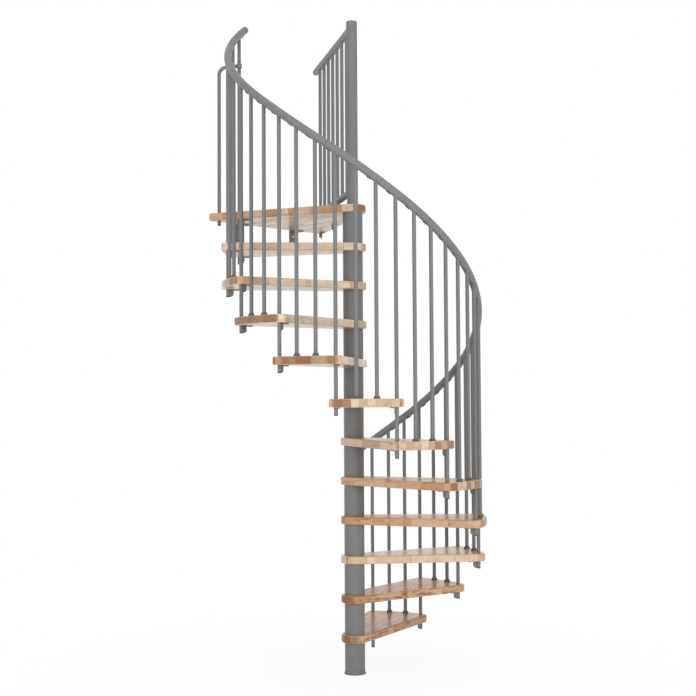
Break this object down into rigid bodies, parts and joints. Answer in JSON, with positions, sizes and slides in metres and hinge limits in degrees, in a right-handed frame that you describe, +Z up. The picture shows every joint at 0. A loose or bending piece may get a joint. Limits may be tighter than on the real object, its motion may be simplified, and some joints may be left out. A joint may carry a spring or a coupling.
{
  "type": "spiral staircase",
  "caption": "Spiral staircase with wedge-shaped wooden treads on a round centre column, a helical handrail on upright balusters, and a wedge-shaped landing with a railing.",
  "frame": {"origin": "On the floor, at the centre of the base flange's lower face, on the column's axis.", "axes": "+Z up along the column. +Y from the column, square to the landing's straight outer edge, which meets the upper floor. The stair climbs clockwise seen from above."},
  "size_m": [1.42, 1.5349, 3.5999],
  "materials": {
    "grey_steel": "mid-grey powder coat, satin, finely textured",
    "grey_rail": "mid-grey smooth coat, satin",
    "beech": "beech glued up from finger-jointed staves, clear satin lacquer",
    "black_plastic": "black moulded plugs and washers, matt",
    "grey_plastic": "mid-grey moulded plastic, satin"
  },
  "bodies": {
    "root": {"baluster_brackets": "grey_steel", "baluster_end_plugs": "black_plastic", "baluster_feet": "grey_plastic", "base_flange": "grey_steel", "column_sleeves": "grey_steel", "core_tube": "grey_steel", "guard_hoop": "grey_steel", "handrail_1": "grey_rail", "handrail_2": "grey_rail", "handrail_3": "grey_rail", "handrail_4": "grey_rail", "handrail_5": "grey_rail", "handrail_6": "grey_rail", "handrail_7": "grey_rail", "handrail_8": "grey_rail", "handrail_9": "grey_rail", "handrail_end_domes": "grey_rail", "handrail_saddles": "grey_steel", "handrail_washers": "black_plastic", "hoop_clamp": "grey_plastic", "infill_balusters": "grey_steel", "landing": "beech", "landing_post": "grey_steel", "landing_post_cap": "grey_plastic", "main_balusters": "grey_steel", "railing_balusters": "grey_steel", "railing_bottom_rail": "grey_steel", "railing_end_dome": "grey_rail", "railing_top_rail": "grey_rail", "slab_brackets": "grey_steel", "tread_01": "beech", "tread_02": "beech", "tread_03": "beech", "tread_04": "beech", "tread_05": "beech", "tread_06": "beech", "tread_07": "beech", "tread_08": "beech", "tread_09": "beech", "tread_10": "beech", "tread_11": "beech"}
  },
  "joints": []
}
